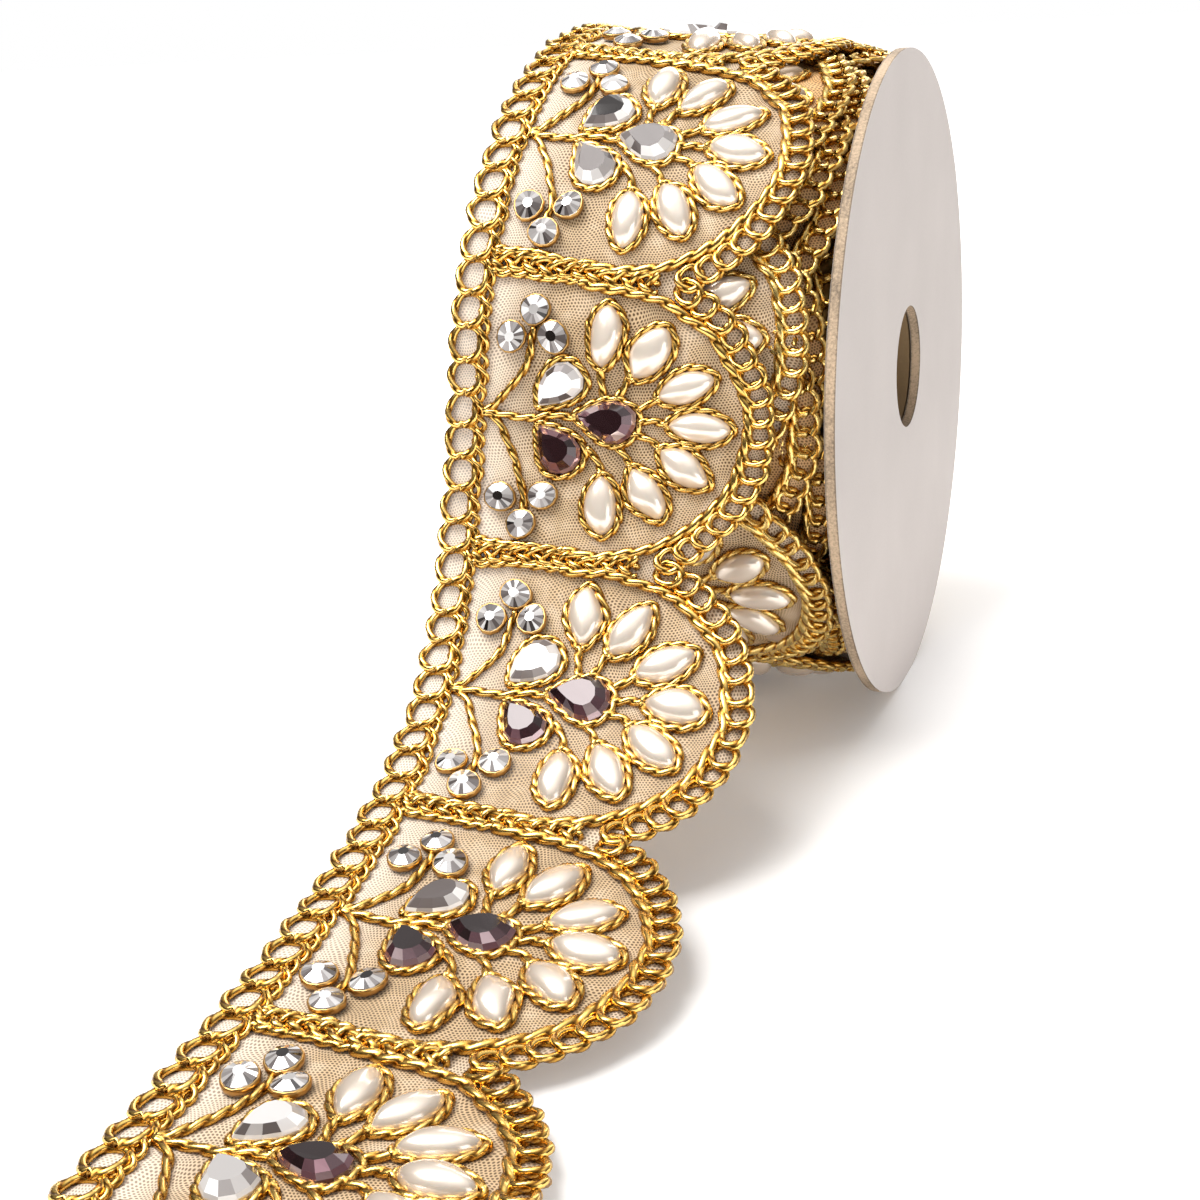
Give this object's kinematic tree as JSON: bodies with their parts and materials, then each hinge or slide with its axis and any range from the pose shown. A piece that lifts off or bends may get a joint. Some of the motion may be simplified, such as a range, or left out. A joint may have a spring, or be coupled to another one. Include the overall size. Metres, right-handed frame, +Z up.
{
  "type": "roll of lace trim",
  "caption": "Roll of scalloped gold lace trim with fans of pearls and faceted drops, wound on a card spool with a round flange, its outer length run out over the surface.",
  "frame": {"origin": "on the surface the roll rests on, under the middle of the part's outline", "axes": "+X along the spool's axis towards the flange, +Y away from the loose end, +Z up"},
  "size_m": [0.0578, 0.2392, 0.1107],
  "materials": {
    "flange_card": "matt paper-faced card",
    "core_card": "matt brown card tube",
    "wound_lace": "gold metallic cord on beige net",
    "lace": "gold metallic cord on beige net",
    "pearl": "pearlescent",
    "clear_drop": "clear, silver-backed and faceted",
    "plum_drop": "dark plum, silver-backed and faceted"
  },
  "bodies": {
    "root": {"flange": "flange_card", "core": "core_card", "wound_turns": "wound_lace", "trim": "lace", "pearl_1_1": "pearl", "pearl_1_2": "pearl", "pearl_1_3": "pearl", "pearl_1_4": "pearl", "pearl_1_5": "pearl", "pearl_1_6": "pearl", "pearl_1_7": "pearl", "pearl_2_1": "pearl", "pearl_2_2": "pearl", "pearl_2_3": "pearl", "pearl_2_4": "pearl", "pearl_2_5": "pearl", "pearl_2_6": "pearl", "pearl_2_7": "pearl", "pearl_3_1": "pearl", "pearl_3_2": "pearl", "pearl_3_3": "pearl", "pearl_3_4": "pearl", "pearl_3_5": "pearl", "pearl_3_6": "pearl", "pearl_3_7": "pearl", "pearl_4_1": "pearl", "pearl_4_2": "pearl", "pearl_4_3": "pearl", "pearl_4_4": "pearl", "pearl_4_5": "pearl", "pearl_4_6": "pearl", "pearl_4_7": "pearl", "pearl_5_1": "pearl", "pearl_5_2": "pearl", "pearl_5_3": "pearl", "pearl_5_4": "pearl", "pearl_5_5": "pearl", "pearl_5_6": "pearl", "pearl_5_7": "pearl", "drop_1_1": "clear_drop", "drop_1_2": "clear_drop", "drop_1_3": "clear_drop", "drop_2_1": "clear_drop", "drop_2_2": "plum_drop", "drop_2_3": "plum_drop", "drop_3_1": "clear_drop", "drop_3_2": "plum_drop", "drop_3_3": "plum_drop", "drop_4_1": "clear_drop", "drop_4_2": "plum_drop", "drop_4_3": "plum_drop", "drop_5_1": "clear_drop", "drop_5_2": "clear_drop", "drop_5_3": "plum_drop"}
  },
  "joints": []
}
